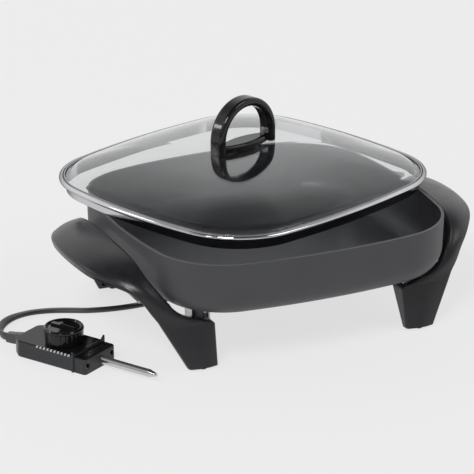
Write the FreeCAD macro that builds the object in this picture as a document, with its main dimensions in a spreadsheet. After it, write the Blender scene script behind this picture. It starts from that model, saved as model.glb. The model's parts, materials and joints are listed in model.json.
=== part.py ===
import FreeCAD, Part
import os
from math import cos, sin, tan, pi, radians, degrees, hypot, atan2, sqrt
import Sketcher

# Electric skillet: a deep square pan on two moulded handles that run down into its four feet, a lift-off
# glass lid with a steel rim, and a plug-in heat control with its own probe, dial and cord.
# Millimetres, +Z up. The origin is on the floor under the middle of the pan, +X is to the right handle.

V = FreeCAD.Vector
UP = V(0, 0, 1)
doc = FreeCAD.newDocument("electric_skillet")

# Driving dimensions. Heights are above the floor, and half_ sizes are from the pan's or the lid's middle.
SIZES = {
    # pan
    "pan_half_width": 158.0,
    "pan_half_depth": 153.0,
    "pan_corner_radius": 75.0,
    "pan_bow_wide": 5.7,
    "pan_bow_deep": 4.8,
    "pan_rim_height": 113.7,
    "pan_bottom_height": 58.0,
    "pan_wall": 3.0,
    "pan_floor": 4.5,
    "pan_draft": 1.5,
    "pan_base_radius": 25.0,
    # heating element, cast ridge and terminals under the pan
    "element_radius": 3.5,
    "element_loop_radius": 85.0,
    "element_bend_radius": 18.0,
    "element_reach": 128.0,
    "element_fit": 0.05,
    "ridge_width": 14.0,
    "ridge_depth": 8.0,
    "terminal_spacing": 38.0,
    "pin_radius": 2.4,
    "pin_length": 14.0,
    "bead_radius": 4.6,
    "bead_length": 6.0,
    "guard_width": 55.0,
    "guard_reach": 146.0,
    "guard_inner": 116.0,
    "guard_drop": 18.2,
    "guard_plate": 1.2,
    "guard_tab": 10.0,
    "guard_screw_inset": 6.0,
    # handles and feet
    "handle_gap": 9.0,
    "grip_reach": 54.0,
    "grip_height": 107.0,
    "grip_fall": 12.0,
    "shelf_height": 44.5,
    "leg_spread": 116.0,
    "leg_inner": 101.0,
    "leg_outer": 132.0,
    "leg_tilt": 9.0,
    "leg_draft": 0.5,
    "leg_flare": 22.5,
    "handle_wall": 3.2,
    "handle_edge_radius": 4.0,
    "handle_crown": 1.6,
    "foot_height": 2.0,
    "foot_depth": 9.0,
    "shelf_depth": 24.0,
    "shelf_plate": 2.9,
    "flange_depth": 7.0,
    "shelf_corner": 6.0,
    "pad_radius": 3.4,
    "pad_stem_radius": 1.6,
    # brackets and screws between the pan and the legs
    "post_inset": 13.4,
    "post_y": 95.0,
    "post_radius": 6.0,
    "bracket_length": 20.6,
    "bracket_width": 13.0,
    "bracket_plate": 1.6,
    "bracket_gap": 0.2,
    "bracket_fit": 0.3,
    "leg_screw_radius": 2.0,
    "leg_screw_head_radius": 3.8,
    "leg_screw_head": 2.6,
    "leg_screw_rise": 9.0,
    "screw_fit": 0.1,
    # lid
    "lid_half_width": 159.2,
    "lid_half_depth": 151.8,
    "lid_corner_radius": 76.0,
    "lid_bow": 5.0,
    "lid_rest_gap": 0.3,
    "lid_shift_x": 1.2,
    "lid_shift_y": 49.0,
    "lid_turn": 20.1,
    "rim_bead_radius": 2.7,
    "rim_sheet": 0.8,
    "rim_skirt_height": 10.6,
    "rim_skirt_inset": 5.2,
    "rim_lip": 3.4,
    "rim_groove": 0.45,
    "rim_groove_width": 0.8,
    "glass_thickness": 3.2,
    "glass_edge": 2.9,
    "glass_flat": 1.2,
    "glass_rise": 27.0,
    "glass_cap": 0.14,
    "glass_fit": 0.1,
    # lid handle
    "arch_radius": 35.0,
    "arch_leg": 12.5,
    "arch_thickness": 8.6,
    "arch_width": 17.0,
    "arch_round": 3.4,
    "base_half_length": 38.0,
    "base_half_width": 11.0,
    "base_height": 7.5,
    "base_round": 3.0,
    "seal_thickness": 0.8,
    "lid_screw_radius": 2.0,
    "glass_hole_fit": 0.4,
    "lid_screw_offset": 17.0,
    "lid_screw_grip": 5.0,
    "lid_screw_head_radius": 3.9,
    "lid_screw_head": 2.2,
    "washer_radius": 6.0,
    "washer_thickness": 1.0,
    # heat control
    "control_x": -203.8,
    "control_y": -68.5,
    "control_turn": -59.2,
    "case_width": 48.6,
    "case_length": 80.0,
    "case_tail": 9.0,
    "case_tail_width": 34.0,
    "case_corner": 6.0,
    "case_height": 16.6,
    "case_split": 7.0,
    "case_wall": 2.0,
    "case_edge": 1.6,
    "case_step": 0.6,
    "nose_length": 13.4,
    "nose_corner": 3.0,
    "nose_drop": 1.0,
    "probe_height": 8.3,
    "probe_radius": 3.9,
    "probe_neck": 0.6,
    "probe_reach": 66.5,
    "probe_tip": 9.0,
    "probe_tip_radius": 1.7,
    "well_fit": 0.2,
    "socket_fit": 0.1,
    "socket_wall": 0.7,
    "frame_plate": 1.2,
    "frame_width": 13.0,
    "blade_thickness": 0.8,
    "cap_screw_radius": 1.4,
    "collar_thickness": 2.0,
    "collar_stand": 0.8,
    "ear_height": 3.6,
    "ear_width": 4.0,
    # dial
    "dial_back": 43.0,
    "dial_radius": 18.3,
    "dial_top_radius": 19.4,
    "dial_height": 15.6,
    "dial_gap": 0.6,
    "dial_flutes": 24.0,
    "shaft_radius": 3.0,
    "shaft_fit": 0.05,
    # cord and plug
    "strap_length": 25.0,
    "strap_height": 11.5,
    "strap_thickness": 6.5,
    "cord_radius": 3.0,
    "plug_length": 34.0,
    "plug_width": 25.0,
    "plug_height": 15.0,
    "blade_gap": 12.7,
    "blade_reach": 16.5,
}


def make_sheet():
    """The spreadsheet that holds every driving dimension, one alias a row."""
    cells = doc.addObject("Spreadsheet::Sheet", "Sizes")
    for row, (alias, number) in enumerate(SIZES.items(), start=1):
        cells.set(f"A{row}", alias)
        cells.set(f"B{row}", str(number))
        cells.setAlias(f"B{row}", alias)
    doc.recompute()
    return cells


sheet = make_sheet()
parts = []


def size(alias):
    """A driving dimension, read back from the sheet."""
    return float(sheet.get(alias))


def bound(text):
    """An expression in which each word that is an alias is read from the sheet."""
    words = "".join(c if c.isalnum() or c == "_" else " " for c in text).split()
    for word in sorted(set(words) & set(SIZES), key=len, reverse=True):
        text = replace_word(text, word, "Sizes." + word)
    return text


def replace_word(text, word, new):
    """text with each whole word replaced, and longer names that hold it left alone."""
    out = ""
    token = ""
    for c in text + " ":
        if c.isalnum() or c in "_.":
            token += c
            continue
        out += new if token == word else token
        out += c
        token = ""
    return out[:-1]


def bind(thing, **expressions):
    """Bind an object's properties to the sheet."""
    for name, text in expressions.items():
        thing.setExpression(name, bound(text))
    return thing


def place(thing, x="0", y="0", z="0"):
    """Bind an object's position to the sheet."""
    for axis, text in (("x", x), ("y", y), ("z", z)):
        thing.setExpression(".Placement.Base." + axis, bound(text))
    return thing


def box(name, length, width, height, x="0", y="0", z="0"):
    """A bound box from its lowest corner."""
    return place(bind(doc.addObject("Part::Box", name), Length=length, Width=width, Height=height), x, y, z)


def rod(name, radius, height, x="0", y="0", z="0", along=UP):
    """A bound cylinder that starts at x, y, z and runs along a direction."""
    thing = bind(doc.addObject("Part::Cylinder", name), Radius=radius, Height=height)
    thing.Placement = FreeCAD.Placement(V(0, 0, 0), FreeCAD.Rotation(UP, along))
    return place(thing, x, y, z)


def fuse(name, *shapes):
    """One object from several that touch."""
    thing = doc.addObject("Part::MultiFuse", name)
    thing.Shapes = list(shapes)
    thing.Refine = True
    return thing


def cut(name, base, *tools):
    """base with every tool taken out of it."""
    thing = doc.addObject("Part::Cut", name)
    thing.Base = base
    thing.Tool = tools[0] if len(tools) == 1 else fuse(name + "_tools", *tools)
    return thing


def group(name, *shapes):
    """Separate identical solids under one node."""
    thing = doc.addObject("Part::Compound", name)
    thing.Links = list(shapes)
    return thing


def solid(name, shape):
    """An object whose shape is worked out here."""
    thing = doc.addObject("Part::Feature", name)
    thing.Shape = shape
    return thing


def finish(thing, node, placement=None):
    """Give a sub-part its node name, and its place when it is drawn in a frame of its own."""
    thing.Label = node
    if placement is not None:
        thing.Placement = placement
    parts.append(thing)
    return thing


def new_body(name):
    """An empty body."""
    return doc.addObject("PartDesign::Body", name)


def sketch_on(body, role, lift="0"):
    """A sketch on one of the body's own origin planes, lifted off it by a bound distance."""
    plane = [f for f in body.Origin.OriginFeatures if f.Role == role][0]
    drawing = body.newObject("Sketcher::SketchObject", body.Name + "_sketch")
    drawing.AttachmentSupport = (plane, [""])
    drawing.MapMode = "FlatFace"
    drawing.setExpression(".AttachmentOffset.Base.z", bound(lift))
    return drawing


def sketch_circle(drawing, radius, x="", y=""):
    """A circle with a bound radius, at the sketch's origin or at a bound place."""
    index = drawing.addGeometry(Part.Circle(V(1, 1, 0), UP, 5), False)
    bind_constraint(drawing, Sketcher.Constraint("Radius", index, 5), radius)
    if not x and not y:
        drawing.addConstraint(Sketcher.Constraint("Coincident", index, 3, -1, 1))
        return index
    bind_constraint(drawing, Sketcher.Constraint("DistanceX", -1, 1, index, 3, 1), x)
    bind_constraint(drawing, Sketcher.Constraint("DistanceY", -1, 1, index, 3, 1), y)
    return index


def bind_constraint(drawing, constraint, text):
    """Add a constraint whose value comes from the sheet."""
    index = drawing.addConstraint(constraint)
    drawing.setExpression(f"Constraints[{index}]", bound(text))


def sketch_outline(drawing, points):
    """A closed outline of straight lines whose corners are bound pairs of expressions."""
    numbers = [(value(x), value(y)) for x, y in points]
    count = len(points)
    first = drawing.GeometryCount
    for i, (x, y) in enumerate(numbers):
        x2, y2 = numbers[(i + 1) % count]
        drawing.addGeometry(Part.LineSegment(V(x, y, 0), V(x2, y2, 0)), False)
    for i in range(count):
        drawing.addConstraint(Sketcher.Constraint("Coincident", first + i, 2, first + (i + 1) % count, 1))
    for i, (x, y) in enumerate(points):
        bind_constraint(drawing, Sketcher.Constraint("DistanceX", -1, 1, first + i, 1, numbers[i][0]), x)
        bind_constraint(drawing, Sketcher.Constraint("DistanceY", -1, 1, first + i, 1, numbers[i][1]), y)


def value(text):
    """What an expression over the sheet's names comes to."""
    probe = doc.getObject("Reckoner") or doc.addObject("App::FeaturePython", "Reckoner")
    if "Result" not in probe.PropertiesList:
        probe.addProperty("App::PropertyFloat", "Result")
    probe.setExpression("Result", bound(text))
    probe.recompute()
    return probe.Result


def feature(body, kind, drawing, **expressions):
    """A sketch-based feature with bound sizes."""
    made = body.newObject("PartDesign::" + kind, body.Name + "_" + kind)
    made.Profile = drawing
    bind(made, **expressions)
    doc.recompute()
    return made


def round_edges(body, radius, picks):
    """Fillet the edges of the body's tip that a test picks."""
    tip = body.Tip
    names = [f"Edge{i}" for i, e in enumerate(tip.Shape.Edges, start=1) if picks(e)]
    made = body.newObject("PartDesign::Fillet", body.Name + "_Fillet")
    made.Base = (tip, names)
    bind(made, Radius=radius)
    doc.recompute()
    return made


# Outlines of four bowed sides and four round corners

def outline_arcs(half_x, half_y, corner, bow_x, bow_y):
    """The outline's eight tangent arcs as (centre x, centre y, radius, from angle, to angle)."""
    cx = half_x - corner - bow_x
    cy = half_y - corner - bow_y
    rx = ((half_x - cx) ** 2 + cy ** 2 - corner ** 2) / (2 * bow_x)
    ry = ((half_y - cy) ** 2 + cx ** 2 - corner ** 2) / (2 * bow_y)
    side = atan2(cy, cx - (half_x - rx))
    top = atan2(cy - (half_y - ry), cx)
    return [
        (half_x - rx, 0, rx, -side, side),
        (cx, cy, corner, side, top),
        (0, half_y - ry, ry, top, pi - top),
        (-cx, cy, corner, pi - top, pi - side),
        (rx - half_x, 0, rx, pi - side, pi + side),
        (-cx, -cy, corner, pi + side, pi + top),
        (0, ry - half_y, ry, pi + top, 2 * pi - top),
        (cx, -cy, corner, 2 * pi - top, 2 * pi - side),
    ]


def outline_wire(arcs, z, inset=0.0, scale=1.0):
    """The outline as a wire at a height, moved inwards or scaled about the middle."""
    edges = []
    for x, y, r, a, b in arcs:
        rr = (r - inset) * scale
        ends = [V(x * scale + rr * cos(t), y * scale + rr * sin(t), z) for t in (a, (a + b) / 2, b)]
        edges.append(Part.Arc(*ends).toShape())
    return Part.Wire(edges)


def outline_ring(arcs, section):
    """A closed section of (outward, height) corners swept round the outline, one turned piece an arc."""
    pieces = []
    for x, y, r, a, b in arcs:
        out = V(cos(a), sin(a), 0)
        at = [V(x, y, 0) + out * (r + u) + UP * z for u, z in section["points"]]
        edges = []
        for i, start in enumerate(at):
            end = at[(i + 1) % len(at)]
            if i == section["round_from"]:
                u, z = section["round_over"]
                mid = V(x, y, 0) + out * (r + u) + UP * z
                edges.append(Part.Arc(start, mid, end).toShape())
            else:
                edges.append(Part.LineSegment(start, end).toShape())
        face = Part.Face(Part.Wire(edges))
        pieces.append(face.revolve(V(x, y, 0), UP, degrees(b - a)))
    return pieces[0].fuse(pieces[1:]).removeSplitter()


def pan_arcs():
    """The pan's outer outline at its rim."""
    return outline_arcs(size("pan_half_width"), size("pan_half_depth"), size("pan_corner_radius"),
                        size("pan_bow_wide"), size("pan_bow_deep"))


def pan_form(inset, bottom, top, radius):
    """A tapered pan shape with a round bottom edge, inset from the pan's own outside."""
    arcs = pan_arcs()
    wires = [outline_wire(arcs, bottom, inset + size("pan_draft")), outline_wire(arcs, top, inset)]
    form = Part.makeLoft(wires, True, True)
    low = [e for e in form.Edges if e.BoundBox.ZMax < bottom + 0.01]
    return form.makeFillet(radius, low)


# Under the pan

def element_path(z):
    """The element's route: in from one terminal, once round, and out to the other."""
    gap = size("terminal_spacing") / 2
    loop = size("element_loop_radius")
    bend = size("element_bend_radius")
    out = -size("element_reach")
    bx = -sqrt((loop + bend) ** 2 - (gap + bend) ** 2)
    by = gap + bend
    tx = bx * loop / (loop + bend)
    ty = by * loop / (loop + bend)
    turn = atan2(ty - by, tx - bx)
    mid = (-pi / 2 + turn) / 2
    bend_mid = V(bx + bend * cos(mid), by + bend * sin(mid), z)
    upper = [
        Part.LineSegment(V(out, gap, z), V(bx, gap, z)).toShape(),
        Part.Arc(V(bx, gap, z), bend_mid, V(tx, ty, z)).toShape(),
        Part.Arc(V(tx, ty, z), V(0, loop, z), V(loop, 0, z)).toShape(),
    ]
    lower = [
        Part.Arc(V(loop, 0, z), V(0, -loop, z), V(tx, -ty, z)).toShape(),
        Part.Arc(V(tx, -ty, z), V(bend_mid.x, -bend_mid.y, z), V(bx, -gap, z)).toShape(),
        Part.LineSegment(V(bx, -gap, z), V(out, -gap, z)).toShape(),
    ]
    return Part.Wire(upper + lower)


def swept(path, profile):
    """A solid swept along a flat route."""
    return path.makePipeShell([profile], True, True)


def tube_along(path, radius):
    """A round bar along a route."""
    first = path.Edges[0]
    start = first.valueAt(first.FirstParameter)
    along = first.tangentAt(first.FirstParameter)
    return swept(path, Part.Wire(Part.makeCircle(radius, start, along)))


def terminal_height():
    return size("pan_bottom_height") - size("ridge_depth")


def make_pan():
    """The cast pan with its element ridge, probe boss and four posts."""
    bottom = size("pan_bottom_height")
    top = size("pan_rim_height")
    wall = size("pan_wall")
    level = terminal_height()
    shell = pan_form(0, bottom, top, size("pan_base_radius"))
    hollow = pan_form(wall, bottom + size("pan_floor"), top + 1, size("pan_base_radius") - wall)
    path = element_path(level)
    half = size("ridge_width") / 2
    x = -size("element_reach")
    y = size("terminal_spacing") / 2
    corners = [V(x, y + half, level), V(x, y - half, level),
               V(x, y - half, bottom + 1), V(x, y + half, bottom + 1)]
    ridge = swept(path, Part.makePolygon(corners + corners[:1]))
    boss = make_probe_boss(level, bottom)
    posts = [make_post(sx, sy) for sx in (-1, 1) for sy in (-1, 1)]
    cast = shell.fuse([ridge, boss] + posts).cut(hollow)
    groove = tube_along(path, size("element_radius") + size("element_fit"))
    holes = [post_hole(sx, sy) for sx in (-1, 1) for sy in (-1, 1)]
    cast = cast.cut([groove, make_probe_well(level)] + holes)
    cast = cast.cut([guard_screw_hole(sy) for sy in (-1, 1)])
    finish(solid("Pan", cast.removeSplitter()), "pan")


def boss_face():
    """How far out the probe boss's face stands."""
    return size("element_reach") + size("bead_length")


def make_probe_boss(level, bottom):
    """The cast boss that holds the probe against the pan."""
    half = size("probe_radius") + size("well_fit") + size("pan_wall") + 1
    length = size("probe_reach") + size("pan_wall")
    block = Part.makeBox(length, 2 * half, bottom + 1 - level, V(-boss_face(), -half, level))
    round_part = Part.makeCylinder(half, length, V(-boss_face(), 0, level), V(1, 0, 0))
    return block.fuse(round_part)


def make_probe_well(level):
    """The blind bore for the probe."""
    radius = size("probe_radius") + size("well_fit")
    return Part.makeCylinder(radius, size("probe_reach"), V(-boss_face() - 1, 0, level), V(1, 0, 0))


def bracket_top():
    return size("shelf_height") + size("bracket_plate")


def post_x():
    """The posts stand a little outside the legs' inner edges."""
    return size("leg_inner") + size("post_inset")


def make_post(sx, sy):
    """A round post from the pan's bottom down to a bracket."""
    height = size("pan_bottom_height") + 1 - bracket_top()
    at = V(sx * post_x(), sy * size("post_y"), bracket_top())
    return Part.makeCylinder(size("post_radius"), height, at)


def post_hole(sx, sy):
    radius = size("leg_screw_radius") + size("screw_fit")
    at = V(sx * post_x(), sy * size("post_y"), bracket_top() - 1)
    return Part.makeCylinder(radius, size("leg_screw_rise") + 1.3, at)


def guard_screw_y():
    return size("guard_width") / 2 + size("guard_tab") / 2


def guard_screw_x():
    return -(size("guard_inner") + size("guard_screw_inset"))


def guard_screw_hole(sy):
    radius = size("cap_screw_radius") + size("screw_fit")
    at = V(guard_screw_x(), sy * guard_screw_y(), size("pan_bottom_height") - 1)
    return Part.makeCylinder(radius, 4.2, at)


def make_element():
    """The sheathed heating element in its groove, with its two beads and cold pins."""
    level = terminal_height()
    finish(solid("Element", tube_along(element_path(level), size("element_radius"))), "heating_element")
    z = "pan_bottom_height - ridge_depth"
    out = V(-1, 0, 0)
    beads = []
    pins = []
    for i, sign in enumerate(("-", "")):
        y = sign + "terminal_spacing / 2"
        beads.append(rod(f"Bead{i}", "bead_radius", "bead_length", "-element_reach", y, z, out))
        pins.append(rod(f"Pin{i}", "pin_radius", "pin_length", "-element_reach - bead_length", y, z, out))
    finish(group("Beads", *beads), "element_insulators")
    finish(group("Pins", *pins), "element_pins")


def make_guard():
    """The pressed guard that shields the pins from below and from both sides, with its two screws."""
    body = new_body("Guard")
    low = "pan_bottom_height - guard_drop"
    half = "guard_width / 2"
    tab = "guard_width / 2 + guard_tab"
    plate = "guard_plate"
    drawing = sketch_on(body, "YZ_Plane", "-guard_reach")
    sketch_outline(drawing, [
        (f"-({half})", low), (half, low), (half, f"pan_bottom_height - {plate}"),
        (tab, f"pan_bottom_height - {plate}"), (tab, "pan_bottom_height"),
        (f"{half} - {plate}", "pan_bottom_height"),
        (f"{half} - {plate}", f"{low} + {plate}"), (f"-({half}) + {plate}", f"{low} + {plate}"),
        (f"-({half}) + {plate}", "pan_bottom_height"), (f"-({tab})", "pan_bottom_height"),
        (f"-({tab})", f"pan_bottom_height - {plate}"), (f"-({half})", f"pan_bottom_height - {plate}"),
    ])
    feature(body, "Pad", drawing, Length="guard_reach - guard_inner")
    trim = sketch_on(body, "XY_Plane", "pan_bottom_height - guard_plate - 1")
    for sign in ("", "-"):
        near = f"{sign}(guard_width / 2)"
        far = f"{sign}(guard_width / 2 + guard_tab + 1)"
        sketch_outline(trim, [
            ("-guard_reach - 1", near), ("-guard_inner - 2 * guard_screw_inset - 1", near),
            ("-guard_inner - 2 * guard_screw_inset - 1", far), ("-guard_reach - 1", far),
        ])
    made = feature(body, "Pocket", trim, Length="guard_plate + 2")
    made.Reversed = True
    doc.recompute()
    holes = []
    screws = []
    for i, sign in enumerate(("-", "")):
        x = "-guard_inner - guard_screw_inset"
        y = f"{sign}(guard_width / 2 + guard_tab / 2)"
        holes.append(rod(f"GuardHole{i}", "cap_screw_radius + screw_fit", "guard_plate + 2", x, y,
                         "pan_bottom_height - guard_plate - 1"))
        head = rod(f"GuardHead{i}", "cap_screw_radius * 2", "1.6", x, y,
                   "pan_bottom_height - guard_plate - 1.6")
        shank = rod(f"GuardShank{i}", "cap_screw_radius", "guard_plate + 3", x, y,
                    "pan_bottom_height - guard_plate")
        screws.append(fuse(f"GuardScrew{i}", head, shank))
    finish(cut("GuardDrilled", body, *holes), "terminal_guard")
    finish(group("GuardScrews", *screws), "guard_screws")


# Handles: a channel section carried along the grip and down both legs

def stations():
    """Half of the right handle, from the grip's middle to the leg's shelf: for each section its inner and
    outer corner, its inner and outer flange depth, and which way the flanges point. Places are shares of
    the way in from the grip to the leg, of the legs' spread and of the rise from shelf to grip."""
    inner = size("pan_half_width") + size("handle_gap")
    outer = size("pan_half_width") + size("grip_reach")
    shelf_inner = size("leg_inner") - size("leg_draft")
    shelf_outer = size("leg_outer") + size("leg_flare")
    spread = size("leg_spread")
    low = size("shelf_height")
    rise = size("grip_height") - low
    edge_rise = rise - size("grip_fall")
    rows = [
        # inner: in, along, up        outer: in, along, up       depths     flange direction
        ((0.0, 0.0, 1.0), (0.0, 0.0, 1.0), (8, 9), (0.0, 0.0, -1.0)),
        ((0.012, 0.3, 0.976), (0.04, 0.285, 0.98), (8, 9), (0.0, 0.05, -1.0)),
        ((0.033, 0.595, 0.889), (0.18, 0.53, 0.905), (9, 8), (-0.05, 0.3, -0.95)),
        ((0.083, 0.745, 0.73), (0.395, 0.695, 0.81), (11, 7), (-0.1, 0.65, -0.75)),
        ((0.173, 0.83, 0.571), (0.56, 0.79, 0.68), (11, 6), (-0.1, 0.9, -0.42)),
        ((0.268, 0.88, 0.41), (0.687, 0.835, 0.52), (11, 6), (-0.05, 1.0, -0.15)),
        ((0.414, 0.912, 0.214), (0.774, 0.862, 0.37), (13, 6), (0.0, 1.0, 0.0)),
        ((0.609, 0.922, 0.1), (0.852, 0.88, 0.235), (17, 6), (0.0, 1.0, 0.0)),
        ((0.805, 0.925, 0.042), (0.93, 0.895, 0.115), (21, 6), (0.0, 1.0, 0.0)),
    ]
    out = []
    for (ax, ay, az), (bx, by, bz), depths, toward in rows:
        a = V(inner + (shelf_inner - inner) * ax, -spread * ay, low + rise * az)
        b = V(outer + (shelf_outer - outer) * bx, -spread * by, low + edge_rise * bz)
        out.append((a, b, depths, V(*toward)))
    tilt = size("leg_tilt")
    corner = V(shelf_inner, -spread + tilt, low)
    far = V(shelf_outer, -spread + tilt + 1, low - 1)
    out.append((corner, far, (size("shelf_depth"), 6), V(0, 1, 0)))
    return out


def foot_station():
    """The section at the bottom of a leg."""
    low = size("foot_height")
    a = V(size("leg_inner") + size("leg_draft"), -size("leg_spread"), low)
    b = V(size("leg_outer"), -size("leg_spread"), low)
    return (a, b, (size("foot_depth"), 7), V(0, 1, 0))


def channel(station, wall=0.0, drop=0.0):
    """One closed section: a crowned web between two rounded corners, with two flanges behind it.
    wall draws the hollow inside it, which runs out through the open back."""
    a, b, (deep_a, deep_b), toward = station
    across = (b - a).normalize()
    back = (toward - across * toward.dot(across)).normalize()
    a = a + across * wall + back * wall - UP * drop
    b = b - across * wall + back * wall
    across = (b - a).normalize()
    back = (toward - across * toward.dot(across)).normalize()
    more = 12.0 if wall else 0.0
    deep_a = deep_a - wall + more
    deep_b = deep_b - wall + more
    r = max(size("handle_edge_radius") - wall, 0.8)
    crown = size("handle_crown")
    diagonal = (across + back) * (r * (1 - sqrt(0.5)))
    diagonal_b = (back - across) * (r * (1 - sqrt(0.5)))
    web = Part.Arc(a + across * r, (a + b) * 0.5 - back * crown, b - across * r).toShape()
    edge_b = Part.Arc(b - across * r, b + diagonal_b, b + back * r).toShape()
    flange_b = Part.LineSegment(b + back * r, b + back * deep_b).toShape()
    open_side = Part.LineSegment(b + back * deep_b, a + back * deep_a).toShape()
    flange_a = Part.LineSegment(a + back * deep_a, a + back * r).toShape()
    edge_a = Part.Arc(a + back * r, a + diagonal, a + across * r).toShape()
    return Part.Wire([web, edge_b, flange_b, open_side, flange_a, edge_a])


def flipped(station):
    """The same section on the rear half."""
    a, b, depths, toward = station
    return (V(a.x, -a.y, a.z), V(b.x, -b.y, b.z), depths, V(toward.x, -toward.y, toward.z))


def handle_form(wall):
    """The handle's outside as one solid, or with a wall its hollow: the smooth band and, from the same end
    sections, the straight-sided legs."""
    half = stations()
    foot = foot_station()
    drops = [0.0] * len(half)
    if wall:
        foot = (foot[0] + UP * wall, foot[1] + UP * wall, foot[2], foot[3])
        for back, share in enumerate((1.0, 0.9, 0.7, 0.4), start=1):
            drops[-back] = wall * share
    front = [channel(s, wall, d) for s, d in zip(half, drops)]
    rear = [channel(flipped(s), wall, d) for s, d in zip(half, drops)]
    faces = Part.makeLoft(front[::-1] + rear[1:], False, False).Faces
    for end, bottom in ((front[-1], foot), (rear[-1], flipped(foot))):
        wire = channel(bottom, wall)
        faces += Part.makeLoft([wire, end], False, True).Faces
        faces.append(Part.Face(wire))
    skin = Part.makeShell(faces)
    skin.sewShape()
    form = Part.makeSolid(skin)
    if form.Volume < 0:
        form.reverse()
    return form


def pad_place(sx, sy):
    x = (size("leg_inner") + size("leg_outer")) / 2
    y = size("leg_spread") - size("foot_depth") / 2
    return V(sx * x, sy * y, 0)


def shelf_box(sy, left, right, front, rear, low, high):
    """A box over a leg's shelf, between two distances from the pan's middle line."""
    start = rear if sy > 0 else -front
    return Part.makeBox(right - left, front - rear, high - low, V(left, start, low))


def pocket_end():
    """Where the level shelf stops on its outer side."""
    return post_x() + size("bracket_length") / 2 + size("bracket_fit")


def shelf_plate(sy):
    """Where the handle stays full, as the level shelf under the bracket."""
    top = size("shelf_height")
    right = pocket_end() + size("handle_wall")
    low = top - size("shelf_plate")
    rear = size("leg_spread") / 2
    return shelf_box(sy, size("leg_inner") - 5, right, size("leg_spread") + 5, rear, low, top)


def shelf_pocket(sy):
    """The room over the shelf for the bracket and the pan's post."""
    front = size("post_y") + size("bracket_width") / 2 + size("bracket_fit")
    low = size("shelf_height")
    return shelf_box(sy, size("leg_inner") - 10, pocket_end(), front, size("leg_spread") / 2, low, low + 30)


def flange_trim(sy):
    """What is taken off the band's inner flange next to the shelf, so light shows between pan and handle."""
    front = size("leg_spread") - size("leg_tilt") - size("flange_depth")
    right = size("leg_outer") + 16
    low = size("shelf_height")
    return shelf_box(sy, size("leg_inner") - 10, right, front, size("leg_spread") / 2, low, low + 18)


def shelf_rounding(sy):
    """What the round corner takes off between the shelf and the leg's inner side."""
    radius = size("shelf_corner")
    x = size("leg_inner") - size("leg_draft") + radius
    z = size("shelf_height") - radius
    rear = size("leg_spread") / 2
    block = shelf_box(sy, x - radius - 4, x, size("leg_spread") + 4, rear, z, z + radius + 4)
    start = V(x, rear if sy > 0 else -size("leg_spread") - 4, z)
    return block.cut(Part.makeCylinder(radius, size("leg_spread") + 4 - rear, start, V(0, 1, 0)))


def make_handles():
    """The two moulded handles, the left one a mirror image of the right one."""
    hollow = handle_form(size("handle_wall")).cut([shelf_plate(sy) for sy in (-1, 1)])
    shell = handle_form(0.0).cut(hollow)
    tools = [form(sy) for sy in (-1, 1) for form in (shelf_pocket, flange_trim, shelf_rounding)]
    for sy in (-1, 1):
        at = V(post_x(), sy * size("post_y"), size("shelf_height") - 10)
        tools.append(Part.makeCylinder(size("leg_screw_radius") + size("screw_fit"), 20, at))
        stem = size("pad_stem_radius") + size("screw_fit") / 2
        tools.append(Part.makeCylinder(stem, 8, pad_place(1, sy) - UP * 1))
    right = shell.cut(tools)
    keep = max(right.Solids, key=lambda s: s.Volume)
    finish(solid("RightHandle", keep), "right_handle")
    finish(solid("LeftHandle", keep.mirror(V(0, 0, 0), V(1, 0, 0))), "left_handle")


def make_feet():
    """Four rubber foot pads, each with a stem in the leg's bottom."""
    pads = []
    for i, (sx, sy) in enumerate(((1, 1), (1, -1), (-1, 1), (-1, -1))):
        x = f"{sx} * (leg_inner + leg_outer) / 2"
        y = f"{sy} * (leg_spread - foot_depth / 2)"
        disc = rod(f"PadDisc{i}", "pad_radius", "foot_height", x, y, "0")
        stem = rod(f"PadStem{i}", "pad_stem_radius", "handle_wall + 1", x, y, "foot_height")
        pads.append(fuse(f"Pad{i}", disc, stem))
    finish(group("Pads", *pads), "foot_pads")


def make_brackets():
    """Four steel brackets that stand between the legs' shelves and the pan, and the screws through them."""
    brackets = []
    screws = []
    for i, (sx, sy) in enumerate(((1, 1), (1, -1), (-1, 1), (-1, -1))):
        x = f"{sx} * (leg_inner + post_inset)"
        y = f"{sy} * post_y"
        low = "shelf_height"
        plate = box(f"BracketPlate{i}", "bracket_length", "bracket_width", "bracket_plate",
                    f"{x} - bracket_length / 2", f"{y} - bracket_width / 2", low)
        ears = []
        for j, start in enumerate((f"{x} - bracket_length / 2", f"{x} + bracket_length / 2 - bracket_plate")):
            ears.append(box(f"BracketEar{i}{j}", "bracket_plate", "bracket_width",
                            "pan_bottom_height - shelf_height - bracket_gap", start,
                            f"{y} - bracket_width / 2", low))
        hole = rod(f"BracketHole{i}", "leg_screw_radius + screw_fit", "bracket_plate * 3", x, y,
                   "shelf_height - bracket_plate")
        brackets.append(cut(f"Bracket{i}", fuse(f"BracketForm{i}", plate, *ears), hole))
        head_top = "shelf_height - shelf_plate"
        head = rod(f"LegHead{i}", "leg_screw_head_radius", "leg_screw_head", x, y,
                   f"{head_top} - leg_screw_head")
        shank = rod(f"LegShank{i}", "leg_screw_radius", "shelf_plate + bracket_plate + leg_screw_rise", x, y,
                    head_top)
        screws.append(fuse(f"LegScrew{i}", head, shank))
    finish(group("Brackets", *brackets), "leg_brackets")
    finish(group("LegScrews", *screws), "leg_screws")


# Lid, drawn about its own middle

def lid_arcs():
    """The middle line of the rim's bead."""
    return outline_arcs(size("lid_half_width"), size("lid_half_depth"), size("lid_corner_radius"),
                        size("lid_bow"), size("lid_bow"))


def lid_place():
    at = V(size("lid_shift_x"), size("lid_shift_y"), 0)
    return FreeCAD.Placement(at, FreeCAD.Rotation(UP, size("lid_turn")))


def lid_rest():
    """The height of the skirt's lower edge."""
    return size("pan_rim_height") + size("lid_rest_gap")


def ledge_height():
    """The height of the ledge that the glass lies on."""
    return lid_rest() + size("rim_skirt_height")


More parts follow.
